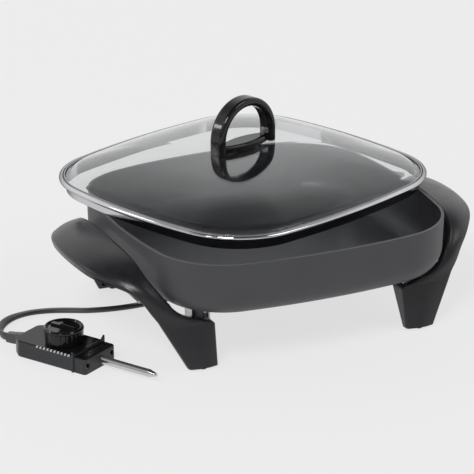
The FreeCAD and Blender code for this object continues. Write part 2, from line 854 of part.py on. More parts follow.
def glass_top():
    """The height of the flat middle of the glass, where the handle stands."""
    rise = size("glass_rise") * (1 - size("glass_cap") ** 3)
    return ledge_height() + size("glass_fit") + size("glass_edge") + rise


def rim_inside():
    """How far in the rim's upright lies from the bead's middle line."""
    return size("rim_sheet") - 0.2


def make_rim():
    """The rolled steel rim: a skirt that sits on the pan, a ledge, and a bead that grips the glass."""
    sheet_metal = size("rim_sheet")
    bead = size("rim_bead_radius")
    inset = size("rim_skirt_inset")
    ledge = ledge_height()
    mid = ledge + (size("glass_edge") + 2 * size("glass_fit")) / 2
    reach = bead * 0.45
    half = sqrt(bead ** 2 - reach ** 2)
    lip = size("rim_lip")
    inner_top = ledge + size("glass_edge") + 2 * size("glass_fit")
    groove = mid + half - size("rim_groove")
    groove_end = -reach - size("rim_groove_width")
    points = [
        (-reach, mid - half), (-reach, mid + half), (-reach, groove), (groove_end, groove),
        (groove_end, mid + half), (-lip, mid + half), (-lip, inner_top),
        (-rim_inside(), inner_top), (-rim_inside(), ledge), (-inset, ledge), (-inset, lid_rest()),
        (-inset + sheet_metal, lid_rest()), (-inset + sheet_metal, mid - half),
    ]
    section = {"points": points, "round_from": 0, "round_over": (bead, mid)}
    finish(solid("Rim", outline_ring(lid_arcs(), section)), "lid_rim", lid_place())


def dome(start_inset, base, shift):
    """The dome's surface as a solid: outlines that shrink as the height follows a cube law."""
    arcs = lid_arcs()
    rise = size("glass_rise")
    cap = size("glass_cap")
    edge = 1 - start_inset / size("lid_half_width")
    shares = [edge, 0.94, 0.88, 0.8, 0.7, 0.57, 0.42, 0.27, cap]
    wires = [outline_wire(arcs, base, start_inset)]
    for share in shares[1:]:
        wires.append(outline_wire(arcs, base + shift + rise * (1 - share ** 3), 0, share))
    return Part.makeLoft(wires, True, False)


def make_glass():
    """The tempered glass dome with a flat edge that the rim grips."""
    fit = size("glass_fit")
    low = ledge_height() + fit
    high = low + size("glass_edge")
    side = rim_inside() + fit
    arcs = lid_arcs()
    edge = Part.Face(outline_wire(arcs, low, side)).extrude(UP * size("glass_edge"))
    bend = size("rim_lip") + size("glass_flat")
    inside = bend + size("glass_thickness")
    outer = dome(bend, high, 0.0)
    inner = dome(inside, low, size("glass_edge") - size("glass_thickness"))
    below = Part.Face(outline_wire(arcs, low, inside)).extrude(UP * -2)
    glass = edge.fuse(outer).cut([inner, below])
    holes = []
    reach = size("glass_rise") / 2
    for side_x in (-1, 1):
        at = V(side_x * size("lid_screw_offset"), 0, glass_top() - reach)
        holes.append(Part.makeCylinder(size("lid_screw_radius") + size("glass_hole_fit"), reach * 2, at))
    finish(solid("Glass", glass.cut(holes)), "lid_glass", lid_place())


def make_lid_handle():
    """The moulded arch and its pointed base in one piece."""
    body = new_body("LidHandle")
    half = "arch_width / 2"
    route = sketch_on(body, "XZ_Plane")
    leg = value("arch_leg")
    radius = value("arch_radius")
    left = route.addGeometry(Part.LineSegment(V(-radius, 0, 0), V(-radius, leg, 0)), False)
    bow = route.addGeometry(Part.ArcOfCircle(Part.Circle(V(0, leg, 0), UP, radius), 0, pi), False)
    right = route.addGeometry(Part.LineSegment(V(radius, leg, 0), V(radius, 0, 0)), False)
    route.addConstraint(Sketcher.Constraint("Tangent", left, 2, bow, 2))
    route.addConstraint(Sketcher.Constraint("Tangent", bow, 1, right, 1))
    bind_constraint(route, Sketcher.Constraint("Radius", bow, radius), "arch_radius")
    bind_constraint(route, Sketcher.Constraint("DistanceY", -1, 1, bow, 3, leg), "arch_leg")
    route.addConstraint(Sketcher.Constraint("PointOnObject", bow, 3, -2))
    route.addConstraint(Sketcher.Constraint("PointOnObject", left, 1, -1))
    route.addConstraint(Sketcher.Constraint("PointOnObject", right, 2, -1))
    band = sketch_on(body, "XY_Plane")
    sketch_outline(band, [
        ("-arch_radius - arch_thickness / 2", f"-{half}"), ("-arch_radius + arch_thickness / 2", f"-{half}"),
        ("-arch_radius + arch_thickness / 2", half), ("-arch_radius - arch_thickness / 2", half),
    ])
    doc.recompute()
    pipe = body.newObject("PartDesign::AdditivePipe", "ArchPipe")
    pipe.Profile = band
    pipe.Spine = (route, ["Edge1", "Edge2", "Edge3"])
    doc.recompute()
    round_edges(body, "arch_round", is_arch_edge)
    base = body.newObject("Sketcher::SketchObject", "BasePlate")
    base.AttachmentSupport = ([f for f in body.Origin.OriginFeatures if f.Role == "XY_Plane"][0], [""])
    base.MapMode = "FlatFace"
    base.setExpression(".AttachmentOffset.Base.z", bound("seal_thickness"))
    add_lens(base, "base_half_length", "base_half_width")
    feature(body, "Pad", base, Length="base_height - seal_thickness")
    round_edges(body, "base_round", is_base_edge)
    screws = sketch_on(body, "XY_Plane")
    for sign in ("", "-"):
        sketch_circle(screws, "lid_screw_radius + screw_fit", sign + "lid_screw_offset", "0")
    hole = feature(body, "Pocket", screws, Length="lid_screw_grip + 0.5 + seal_thickness")
    hole.Reversed = True
    doc.recompute()
    at = lid_place()
    at.Base.z = glass_top() + size("glass_fit")
    finish(body, "lid_handle", at)
    seal = new_body("Seal")
    flat = sketch_on(seal, "XY_Plane")
    add_lens(flat, "base_half_length - arch_thickness", "base_half_width - 1.2")
    for sign in ("", "-"):
        sketch_circle(flat, "lid_screw_radius + glass_hole_fit", sign + "lid_screw_offset", "0")
    feature(seal, "Pad", flat, Length="seal_thickness")
    finish(seal, "lid_handle_seal", at)


def is_arch_edge(edge):
    """The arch's long edges, along its outer and inner face."""
    box_of = edge.BoundBox
    flat = box_of.YLength < 0.01
    return flat and box_of.ZLength > 1 and abs(abs(box_of.YMin) - size("arch_width") / 2) < 0.01


def is_base_edge(edge):
    """The base plate's upper edges."""
    box_of = edge.BoundBox
    top = size("base_height")
    return abs(box_of.ZMin - top) < 0.01 and abs(box_of.ZMax - top) < 0.01 and box_of.XLength > 20


def add_lens(drawing, half_length, half_width):
    """A pointed oval of two arcs."""
    a = value(half_length)
    b = value(half_width)
    radius = (a * a + b * b) / (2 * b)
    span = atan2(a, radius - b)
    upper = Part.ArcOfCircle(Part.Circle(V(0, b - radius, 0), UP, radius), pi / 2 - span, pi / 2 + span)
    low = 3 * pi / 2
    lower = Part.ArcOfCircle(Part.Circle(V(0, radius - b, 0), UP, radius), low - span, low + span)
    first = drawing.addGeometry(upper, False)
    second = drawing.addGeometry(lower, False)
    drawing.addConstraint(Sketcher.Constraint("Coincident", first, 1, second, 2))
    drawing.addConstraint(Sketcher.Constraint("Coincident", first, 2, second, 1))
    drawing.addConstraint(Sketcher.Constraint("PointOnObject", first, 1, -1))
    drawing.addConstraint(Sketcher.Constraint("PointOnObject", first, 3, -2))
    drawing.addConstraint(Sketcher.Constraint("PointOnObject", second, 3, -2))
    long = f"2 * ({half_length})"
    bind_constraint(drawing, Sketcher.Constraint("DistanceX", first, 2, first, 1, 2 * a), long)
    wide = f"(({half_length})^2 + ({half_width})^2) / (2 * ({half_width}))"
    bind_constraint(drawing, Sketcher.Constraint("Radius", first, radius), wide)
    bind_constraint(drawing, Sketcher.Constraint("Radius", second, radius), wide)


def make_lid_screws():
    """Two screws and washers that hold the handle from under the glass."""
    screws = []
    washers = []
    under = -size("glass_thickness")
    for i, sign in enumerate(("-", "")):
        x = sign + "lid_screw_offset"
        washer = rod(f"WasherDisc{i}", "washer_radius", "washer_thickness", x, "0",
                     f"{under} - washer_thickness")
        hole = rod(f"WasherHole{i}", "lid_screw_radius + glass_hole_fit", "washer_thickness * 3", x, "0",
                   f"{under} - washer_thickness * 2")
        washers.append(cut(f"Washer{i}", washer, hole))
        head = rod(f"LidHead{i}", "lid_screw_head_radius", "lid_screw_head", x, "0",
                   f"{under} - washer_thickness - lid_screw_head")
        shank = rod(f"LidShank{i}", "lid_screw_radius",
                    f"washer_thickness + glass_thickness + seal_thickness + lid_screw_grip", x, "0",
                    f"{under} - washer_thickness")
        screws.append(fuse(f"LidScrew{i}", head, shank))
    at = lid_place()
    at.Base.z = glass_top()
    finish(group("Washers", *washers), "lid_handle_washers", at)
    finish(group("LidScrews", *screws), "lid_handle_screws", at)


# Heat control, drawn with its front face at the origin and its probe along +X

def control_place():
    at = V(size("control_x"), size("control_y"), 0)
    return FreeCAD.Placement(at, FreeCAD.Rotation(UP, size("control_turn")))


def case_outline(grow="0"):
    """The case in plan: straight sides and a tail that narrows to the cord."""
    side = f"case_width / 2 + {grow}"
    tail = f"case_tail_width / 2 + {grow}"
    front = "-nose_length - collar_thickness"
    back = f"-case_length - ({grow})"
    end = f"-case_length - case_tail - ({grow})"
    return [(front, f"-({side})"), (front, side), (back, side), (end, tail),
            (end, f"-({tail})"), (back, f"-({side})")]


def make_case():
    """The case's two shells, which part at a level seam."""
    for name, low, high in (("case_base", "0", "case_split"), ("case_top", "case_split", "case_height")):
        body = new_body(name.title().replace("_", ""))
        drawing = sketch_on(body, "XY_Plane", low)
        sketch_outline(drawing, case_outline())
        feature(body, "Pad", drawing, Length=f"{high} - ({low})")
        round_edges(body, "case_corner", is_upright)
        level = size("case_height") if name == "case_top" else 0.0
        round_edges(body, "case_edge", lambda e, z=level: lies_at(e, z) and not is_front_edge(e))
        inner = sketch_on(body, "XY_Plane", low if name == "case_top" else high)
        sketch_outline(inner, case_outline("-case_wall"))
        hollow = feature(body, "Pocket", inner, Length=f"{high} - ({low}) - case_wall")
        if name == "case_top":
            hollow.Reversed = True
        doc.recompute()
        if name == "case_top":
            tools = [rod("ShaftHole", "shaft_radius + shaft_fit", "case_wall * 4", "-dial_back", "0",
                         "case_height - case_wall * 2"),
                     box("StrapSlotTop", "case_wall * 3", "strap_thickness + 0.2", "case_height",
                         "-case_length - case_tail - case_wall", "-strap_thickness / 2 - 0.1", "-1.6")]
            tools += [rib(i) for i in range(10)]
        else:
            tools = [box("StrapSlotBase", "case_wall * 3", "strap_thickness + 0.2", "case_height",
                         "-case_length - case_tail - case_wall", "-strap_thickness / 2 - 0.1",
                         "probe_height - strap_height / 2 - 0.5")]
            tools += [rod(f"CapHole{i}", "cap_screw_radius + screw_fit", "case_split", x, y, "-1")
                      for i, (x, y) in enumerate(CAP_SCREWS)]
        finish(cut(name + "_cut", body, *tools), name, control_place())


CAP_SCREWS = [("-nose_length - 10", "case_width / 2 - 6"), ("-nose_length - 10", "-case_width / 2 + 6"),
              ("-case_length - 2", "0")]


def rib(i):
    """One notch of the row along the case's upper edge."""
    return rod(f"Rib{i}", "1.0", "2", f"-nose_length - 6 - {i} * 4.2", "-case_width / 2 + 0.3",
               "case_height - 1.4")


def is_upright(edge):
    """Upright edges at the tail's corners."""
    box_of = edge.BoundBox
    return box_of.XLength < 0.01 and box_of.YLength < 0.01 and box_of.XMax < -size("case_length") + 1


def lies_at(edge, z):
    return abs(edge.BoundBox.ZMin - z) < 0.01 and abs(edge.BoundBox.ZMax - z) < 0.01


def is_front_edge(edge):
    return edge.BoundBox.XMin > -size("nose_length") - size("collar_thickness") - 0.01


def make_nose():
    """The front cover that carries the probe and the two sockets, with a collar and two ears behind it."""
    body = new_body("Nose")
    drawing = sketch_on(body, "YZ_Plane", "-nose_length")
    side = "case_width / 2 - case_step"
    top = "case_height - nose_drop"
    sketch_outline(drawing, [(f"-({side})", "0"), (side, "0"), (side, top), (f"-({side})", top)])
    feature(body, "Pad", drawing, Length="nose_length")
    round_edges(body, "nose_corner", lambda e: e.BoundBox.ZLength > 5 and e.BoundBox.XMin > -0.01)
    upper = size("case_height") - size("nose_drop")
    rear = -size("nose_length")
    round_edges(body, "case_edge", lambda e: lies_at(e, upper) and e.BoundBox.XMax > rear + 0.01)
    collar = sketch_on(body, "YZ_Plane", "-nose_length - collar_thickness")
    side = "case_width / 2 + collar_stand"
    top = "case_height + collar_stand"
    sketch_outline(collar, [
        (f"-({side})", "0"), (side, "0"), (side, f"{top} + ear_height"), (f"{side} - ear_width", top),
        (f"-({side}) + ear_width", top), (f"-({side})", f"{top} + ear_height"),
    ])
    feature(body, "Pad", collar, Length="collar_thickness")
    holes = sketch_on(body, "YZ_Plane", "-nose_length - collar_thickness - 1")
    sketch_circle(holes, "probe_radius - probe_neck + shaft_fit", "0", "probe_height")
    for sign in ("", "-"):
        sketch_circle(holes, "pin_radius + socket_fit + socket_wall", f"{sign}terminal_spacing / 2",
                      "probe_height")
    bore = feature(body, "Pocket", holes, Length="nose_length + collar_thickness + 2")
    bore.Reversed = True
    doc.recompute()
    finish(body, "control_nose", control_place())


def make_probe():
    """The steel probe with its tapered tip."""
    body = new_body("Probe")
    drawing = sketch_on(body, "XZ_Plane")
    low = "probe_height"
    sketch_outline(drawing, [
        ("-nose_length - 4", low), ("probe_reach", low), ("probe_reach", f"{low} + probe_tip_radius * 0.5"),
        ("probe_reach - probe_tip_radius * 0.6", f"{low} + probe_tip_radius"),
        ("probe_reach - probe_tip", f"{low} + probe_radius"), ("0", f"{low} + probe_radius"),
        ("0", f"{low} + probe_radius - probe_neck"),
        ("-nose_length - 4", f"{low} + probe_radius - probe_neck"),
    ])
    doc.recompute()
    turned = body.newObject("PartDesign::Revolution", "ProbeTurned")
    turned.Profile = drawing
    turned.ReferenceAxis = (drawing, ["Edge1"])
    turned.Angle = 360
    doc.recompute()
    finish(body, "probe", control_place())


def make_sockets():
    """Two brass receptacles in the nose for the element's pins."""
    tubes = []
    along = V(1, 0, 0)
    for i, sign in enumerate(("-", "")):
        y = sign + "terminal_spacing / 2"
        outer = rod(f"SocketOuter{i}", "pin_radius + socket_fit + socket_wall", "nose_length - 0.6",
                    "-nose_length", y, "probe_height", along)
        inner = rod(f"SocketInner{i}", "pin_radius + socket_fit", "nose_length",
                    "-nose_length + 1", y, "probe_height", along)
        tubes.append(cut(f"Socket{i}", outer, inner))
    finish(group("Sockets", *tubes), "socket_contacts", control_place())


def make_thermostat():
    """Inside the case: the frame that holds the probe, the contact blades and their insulating stack."""
    side = "-frame_width / 2"
    foot = box("FrameFoot", "case_length - nose_length - 16", "frame_width", "frame_plate",
               "-case_length + 10", side, "case_wall")
    post = box("FramePost", "frame_plate", "frame_width", "case_height - case_wall * 2 - 1",
               "-nose_length - 6 - frame_plate", side, "case_wall")
    finish(fuse("Frame", foot, post), "thermostat_frame", control_place())
    stack_x = "-case_length + 11"
    stack = box("StackBlock", "8", "frame_width", "case_height - case_wall * 2 - frame_plate - 1",
                stack_x, side, "case_wall + frame_plate")
    slots = []
    blades = []
    for i, (lift, width) in enumerate((("3", "8"), ("5.4", "6"))):
        z = f"case_wall + frame_plate + {lift}"
        slots.append(box(f"StackSlot{i}", "8", f"{width} + 0.2", "blade_thickness + 0.1", f"{stack_x} + 4",
                         f"-{width} / 2 - 0.1", f"{z} - 0.05"))
        blades.append(box(f"Blade{i}", "case_length - nose_length - 26", width, "blade_thickness",
                          f"{stack_x} + 4.2", f"-{width} / 2", z))
    finish(cut("Stack", stack, *slots), "contact_stack", control_place())
    finish(group("BimetalBlade", blades[0]), "bimetal_blade", control_place())
    finish(group("ContactBlade", blades[1]), "contact_blade", control_place())


def make_case_screws():
    """Three screws up through the case's base."""
    screws = []
    for i, (x, y) in enumerate(CAP_SCREWS):
        head = rod(f"CapHead{i}", "cap_screw_radius * 1.9", "1.4", x, y, "case_wall")
        shank = rod(f"CapShank{i}", "cap_screw_radius", "case_height - case_wall * 2 - 0.3", x, y,
                    "case_wall")
        screws.append(fuse(f"CapScrew{i}", head, shank))
    finish(group("CapScrews", *screws), "case_screws", control_place())


def make_dial():
    """The fluted dial with its grip bar, and the shaft that turns with it."""
    body = new_body("Dial")
    profile = sketch_on(body, "XZ_Plane")
    low = "case_height + dial_gap"
    high = "case_height + dial_gap + dial_height"
    sketch_outline(profile, [
        ("0", low), ("dial_radius", low), ("dial_top_radius - 0.4", f"{high} - 3.4"),
        ("dial_top_radius", f"{high} - 2.8"), ("dial_top_radius", f"{high} - 1.4"),
        ("dial_top_radius - 1.2", high), ("dial_top_radius - 2.4", high),
        ("dial_top_radius - 3.8", f"{high} - 1.6"), ("0", f"{high} - 1.6"),
    ])
    doc.recompute()
    turned = body.newObject("PartDesign::Revolution", "DialTurned")
    turned.Profile = profile
    turned.ReferenceAxis = (profile, ["V_Axis"])
    turned.Angle = 360
    doc.recompute()
    flute = sketch_on(body, "XY_Plane", f"{low} + 1.4")
    sketch_circle(flute, "1.3", "dial_top_radius + 0.2", "0")
    groove = feature(body, "Pocket", flute, Length="dial_height - 5.2")
    groove.Reversed = True
    doc.recompute()
    ring = body.newObject("PartDesign::PolarPattern", "DialFlutes")
    ring.Originals = [groove]
    ring.Axis = (flute, ["N_Axis"])
    ring.Angle = 360
    ring.Occurrences = int(size("dial_flutes"))
    body.Tip = ring
    doc.recompute()
    bar = sketch_on(body, "XY_Plane", f"{high} - 1.6")
    sketch_outline(bar, [("-dial_top_radius + 5.5", "-2.6"), ("dial_top_radius - 5.5", "-1.4"),
                         ("dial_top_radius - 5.5", "1.4"), ("-dial_top_radius + 5.5", "2.6")])
    feature(body, "Pad", bar, Length="1.9")
    seat = sketch_on(body, "XY_Plane", low)
    sketch_circle(seat, "shaft_radius + 0.02")
    socket = feature(body, "Pocket", seat, Length="dial_height - 5")
    socket.Reversed = True
    doc.recompute()
    place_dial = control_place().multiply(FreeCAD.Placement(V(-size("dial_back"), 0, 0), FreeCAD.Rotation()))
    finish(body, "dial_knob", place_dial)
    foot = "case_wall + frame_plate + blade_thickness + 5.7"
    shaft = rod("ShaftRod", "shaft_radius", f"case_height + dial_gap + dial_height - 5.2 - ({foot})",
                "0", "0", foot)
    collar = rod("ShaftCollar", "shaft_radius + 1.6", "1.2", "0", "0", "case_height - case_wall - 1.8")
    finish(fuse("Shaft", shaft, collar), "dial_shaft", place_dial)


# Cord and plug

# Where the cord runs on the floor after it has left the strap: the stretch that shows curls back past the
# control and under the left leg, and the rest lies under and behind the pan.
CORD_ROUTE = [
    (-264.2, 43.0), (-260.0, 53.0), (-254.4, 61.5), (-247.5, 68.8), (-238.5, 75.0), (-227.5, 78.8),
    (-214.0, 79.8), (-197.0, 76.0), (-181.0, 69.0), (-164.9, 60.4), (-144.0, 54.6), (-121.8, 51.8),
    (-96.0, 53.0), (-70.0, 57.0), (-42.0, 57.0), (-13.0, 50.0), (17.0, 47.0), (45.0, 53.0), (66.0, 71.0),
    (74.0, 98.0), (71.0, 127.0), (59.0, 154.0), (39.0, 176.0), (13.0, 190.0), (-16.0, 196.0), (-44.0, 197.0),
]


def strap_end():
    """How far behind the control's face the strap ends."""
    return size("case_length") + size("case_tail") + size("strap_length") - 2


def cord_points():
    """The route from the strap's end face to the plug, at the height at which the cord lies."""
    lift = size("cord_radius") + 0.05
    start = [control_place().multVec(V(-strap_end() - run, 0, lift)) for run in (0, 6)]
    return start + [V(x, y, lift) for x, y in CORD_ROUTE]


def rounded_route(points):
    """Straight runs joined by tangent arcs, each arc as large as its two runs allow."""
    edges = []
    radii = []
    last = points[0]
    for before, here, after in zip(points, points[1:], points[2:]):
        run_in = (here - before).normalize()
        run_out = (after - here).normalize()
        half_turn = run_in.getAngle(run_out) / 2
        cut_back = 0.45 * min((here - before).Length, (after - here).Length)
        radius = cut_back / tan(half_turn)
        radii.append(radius)
        start = here - run_in * cut_back
        end = here + run_out * cut_back
        middle = here + (run_out - run_in).normalize() * (radius / cos(half_turn) - radius)
        edges.append(Part.LineSegment(last, start).toShape())
        edges.append(Part.Arc(start, middle, end).toShape())
        last = end
    edges.append(Part.LineSegment(last, points[-1]).toShape())
    return Part.Wire(edges), radii


def make_cord():
    """The cord as one tube along the floor."""
    path, radii = rounded_route(cord_points())
    run = tube_along(path, size("cord_radius"))
    area = pi * size("cord_radius") ** 2
    print(f"cord length {path.Length:.1f}, least radius {min(radii):.1f}, volume share "
          f"{run.Volume / (area * path.Length):.4f}")
    print("cord radii", [round(r) for r in radii])
    finish(solid("Cord", run), "cord_run")


def make_strap():
    """The flexible strain relief at the case's tail."""
    body = new_body("Strap")
    start = "-case_length - case_tail + case_wall + 0.4"
    end = "-case_length - case_tail - strap_length + 2"
    drawing = sketch_on(body, "XZ_Plane", "-strap_thickness / 2")
    mid = "probe_height"
    sketch_outline(drawing, [
        (start, f"{mid} - strap_height / 2"), (start, f"{mid} + strap_height / 2"),
        (f"{end} + 8", "cord_radius * 2 + 4.4"), (end, "cord_radius * 2 + 3.2"),
        (end, "0.2"), (f"{end} + 8", "0.3"),
    ])
    feature(body, "Pad", drawing, Length="strap_thickness")
    finish(body, "strain_relief", control_place())


def make_plug():
    """The moulded two-blade plug at the cord's far end, lying flat."""
    before, last = cord_points()[-2:]
    turn = degrees(atan2(last.y - before.y, last.x - before.x))
    at = FreeCAD.Placement(V(last.x, last.y, 0), FreeCAD.Rotation(UP, turn))
    body = new_body("Plug")
    drawing = sketch_on(body, "XY_Plane", "0.1")
    waist = "plug_length * 0.45"
    sketch_outline(drawing, [
        ("0", "-cord_radius - 1.5"), (waist, "-plug_width / 2"), ("plug_length", "-plug_width / 2"),
        ("plug_length", "plug_width / 2"), (waist, "plug_width / 2"), ("0", "cord_radius + 1.5"),
    ])
    feature(body, "Pad", drawing, Length="plug_height")
    front = size("plug_length") - 0.5
    round_edges(body, "2.5", lambda e: e.BoundBox.XMin < front and e.BoundBox.XLength > 0.5)
    finish(body, "plug_body", at)
    blades = []
    for i, sign in enumerate(("-", "")):
        blades.append(box(f"PlugBlade{i}", "blade_reach", "1.5", "6.3", "plug_length",
                          f"{sign}blade_gap / 2 - 0.75", "plug_height / 2 - 3.05"))
    finish(group("PlugBlades", *blades), "plug_blades", at)


def make_all():
    make_pan()
    make_element()
    make_guard()
    make_handles()
    make_feet()
    make_brackets()
    make_rim()
    make_glass()
    make_lid_handle()
    make_lid_screws()
    make_case()
    make_nose()
    make_probe()
    make_sockets()
    make_thermostat()
    make_case_screws()
    make_dial()
    make_strap()
    make_cord()
    make_plug()


def write_parts():
    """Check every object and every sub-part, then write each sub-part to its own file."""
    doc.recompute()
    for thing in doc.Objects:
        if "Invalid" in thing.State or "Error" in thing.State:
            raise RuntimeError(f"{thing.Name} ({thing.Label}) failed: {thing.State}")
    for thing in parts:
        if thing.Shape.isNull() or not thing.Shape.isValid() or not thing.Shape.Solids:
            raise RuntimeError(f"{thing.Label} has no valid solid")
    os.makedirs("parts", exist_ok=True)
    for thing in parts:
        thing.Shape.exportStep(os.path.join("parts", thing.Label + ".step"))
        print(thing.Label, len(thing.Shape.Solids), "solids", round(thing.Shape.Volume), "mm3")


make_all()
write_parts()
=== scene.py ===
import json
import math
import bpy
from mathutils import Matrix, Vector


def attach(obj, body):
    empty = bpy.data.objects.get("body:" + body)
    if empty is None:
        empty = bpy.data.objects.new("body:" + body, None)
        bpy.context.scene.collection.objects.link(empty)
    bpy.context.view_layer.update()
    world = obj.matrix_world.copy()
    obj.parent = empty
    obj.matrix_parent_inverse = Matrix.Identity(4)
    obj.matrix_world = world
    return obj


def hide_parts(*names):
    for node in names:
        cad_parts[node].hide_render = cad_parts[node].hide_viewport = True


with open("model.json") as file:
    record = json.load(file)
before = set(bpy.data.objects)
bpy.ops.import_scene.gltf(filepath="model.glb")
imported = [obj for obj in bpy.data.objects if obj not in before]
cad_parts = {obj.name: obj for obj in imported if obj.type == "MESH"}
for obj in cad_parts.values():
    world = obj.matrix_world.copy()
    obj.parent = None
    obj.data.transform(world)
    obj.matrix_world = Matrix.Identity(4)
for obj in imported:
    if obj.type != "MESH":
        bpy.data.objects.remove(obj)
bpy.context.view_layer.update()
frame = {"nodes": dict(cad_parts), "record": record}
nodes = frame["nodes"]
scene = bpy.context.scene


# Camera: the photograph's own viewpoint, worked out from the pan, the feet and the lid

CAMERA_AT = Vector((-1.0568, -2.1951, 1.0164))
CAMERA_BACK = Vector((-0.3957, -0.8447, 0.3604))
CAMERA_LENS = 199.9

camera = bpy.data.objects.new("camera", bpy.data.cameras.new("camera"))
scene.collection.objects.link(camera)
camera.location = CAMERA_AT
camera.rotation_mode = "QUATERNION"
camera.rotation_quaternion = (-CAMERA_BACK).to_track_quat("-Z", "Y")
camera.data.sensor_width = 36
camera.data.lens = CAMERA_LENS
camera.data.clip_start = 0.1
camera.data.clip_end = 60
scene.camera = camera


# Cord: flat, two cores, lying on its broad side, on the route of the model's own tube

CORD_WIDTH = 0.008
CORD_THICK = 0.0041
CORD_FLAT = CORD_THICK / 2
CORD_ROUTE = [
    (-0.26115, 0.0277), (-0.26422, 0.03286), (-0.2642, 0.043), (-0.26, 0.053), (-0.2544, 0.0615),
    (-0.2475, 0.0688), (-0.2385, 0.075), (-0.2275, 0.0788), (-0.214, 0.0798), (-0.197, 0.076),
    (-0.181, 0.069), (-0.1649, 0.0604), (-0.144, 0.0546), (-0.1218, 0.0518), (-0.096, 0.053),
    (-0.07, 0.057), (-0.042, 0.057), (-0.013, 0.05), (0.017, 0.047), (0.045, 0.053), (0.066, 0.071),
    (0.074, 0.098), (0.071, 0.127), (0.059, 0.154), (0.039, 0.176), (0.013, 0.19), (-0.016, 0.196),
    (-0.044, 0.197),
]
CORD_LIFT = 0.0004
CORE_ARC = math.radians(152)
CORE_STEPS = 12
# The cord leaves the case standing on edge, and over this many points it turns flat
STAND_OVER = 7


def cord_profile():
    """Two round cores and the groove between them, drawn 2 wide: the radius of the cord's points
    brings it to size."""
    data = bpy.data.curves.new("cord_profile", "CURVE")
    data.dimensions = "2D"
    line = data.splines.new("POLY")
    core = CORD_THICK / CORD_WIDTH
    ring = []
    for side in (1, -1):
        for i in range(CORE_STEPS + 1):
            turn = CORE_ARC * (i / CORE_STEPS - 0.5) + (0 if side == 1 else math.pi)
            ring.append((side * (1 - core) + core * math.cos(turn), core * math.sin(turn)))
    line.points.add(len(ring) - 1)
    for point, (x, y) in zip(line.points, ring):
        point.co = (x, y, 0, 1)
    line.use_cyclic_u = True
    profile = bpy.data.objects.new("cord_profile", data)
    scene.collection.objects.link(profile)
    profile.hide_render = True
    profile.hide_viewport = True
    return profile


def make_cord():
    """The cord on its route, with the profile drawn along it."""
    data = bpy.data.curves.new("cord", "CURVE")
    data.dimensions = "3D"
    data.twist_mode = "Z_UP"
    line = data.splines.new("NURBS")
    line.points.add(len(CORD_ROUTE) - 1)
    for i, (x, y) in enumerate(CORD_ROUTE):
        stand = max(0.0, 1 - i / STAND_OVER)
        line.points[i].co = (x, y, CORD_LIFT + CORD_FLAT + stand * (CORD_WIDTH - CORD_THICK) / 2, 1)
        line.points[i].tilt = stand * math.pi / 2
        line.points[i].radius = CORD_WIDTH / 2
    line.order_u = 3
    line.use_endpoint_u = True
    line.resolution_u = 10
    data.bevel_mode = "OBJECT"
    data.bevel_object = cord_profile()
    data.use_fill_caps = True
    cord = bpy.data.objects.new("cord", data)
    scene.collection.objects.link(cord)
    return cord


cord = make_cord()
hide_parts("cord_run")
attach(cord, "skillet")


# Lid glass: the model's dome drawn by its own rule, without facets

LID_AT = (0.0012, 0.049)
LID_TURN = math.radians(20.1)
LID_HALF = (0.1592, 0.1518)
LID_CORNER = 0.076
LID_BOW = 0.005
GLASS_LOW = 0.1247
GLASS_EDGE = 0.0029
GLASS_THICK = 0.0032
GLASS_RISE = 0.027
GLASS_SIDE = 0.0007
GLASS_FLAT = 0.0046
UNDER_FLAT = GLASS_FLAT + 0.4 * GLASS_THICK
UNDER_INSET = 0.008
BEND_SHARE = 0.93
DOME_RINGS = 60


def outline_arcs(half_x, half_y, corner, bow_x, bow_y):
    """Four bowed sides and four round corners: centre's x and y, radius, first and last angle."""
    cx = half_x - corner - bow_x
    cy = half_y - corner - bow_y
    rx = ((half_x - cx) ** 2 + cy ** 2 - corner ** 2) / (2 * bow_x)
    ry = ((half_y - cy) ** 2 + cx ** 2 - corner ** 2) / (2 * bow_y)
    side = math.atan2(cy, cx - (half_x - rx))
    top = math.atan2(cy - (half_y - ry), cx)
    pi = math.pi
    return [
        (half_x - rx, 0, rx, -side, side), (cx, cy, corner, side, top),
        (0, half_y - ry, ry, top, pi - top), (-cx, cy, corner, pi - top, pi - side),
        (rx - half_x, 0, rx, pi - side, pi + side), (-cx, -cy, corner, pi + side, pi + top),
        (0, ry - half_y, ry, pi + top, 2 * pi - top), (cx, -cy, corner, 2 * pi - top, 2 * pi - side),
    ]


def lid_ring(inset, share, z, steps=24):
    """One ring of points on the lid, moved inwards or scaled about its middle."""
    points = []
    for x, y, r, a, b in outline_arcs(*LID_HALF, LID_CORNER, LID_BOW, LID_BOW):
        for i in range(steps):
            t = a + (b - a) * i / steps
            px = (x + (r - inset) * math.cos(t)) * share
            py = (y + (r - inset) * math.sin(t)) * share
            points.append((LID_AT[0] + px * math.cos(LID_TURN) - py * math.sin(LID_TURN),
                           LID_AT[1] + px * math.sin(LID_TURN) + py * math.cos(LID_TURN), z))
    return points


def dome_height(share, start):
    """How high the dome stands over its edge at a share of the lid's size."""
    t = min(1.0, max(0.0, (start - share) / (start - BEND_SHARE)))
    return GLASS_RISE * (1 - share ** 3) * t * (2 - t)


def dome_rings(flat, edge_z, dome_z, start):
    """The rings of one side of the glass, from its edge to near its middle."""
    rings = [lid_ring(GLASS_SIDE, 1, edge_z), lid_ring(flat, 1, edge_z)]
    for i in range(1, DOME_RINGS):
        share = start * (1 - i / DOME_RINGS)
        rings.append(lid_ring(0, share, dome_z + dome_height(share, start)))
    return rings


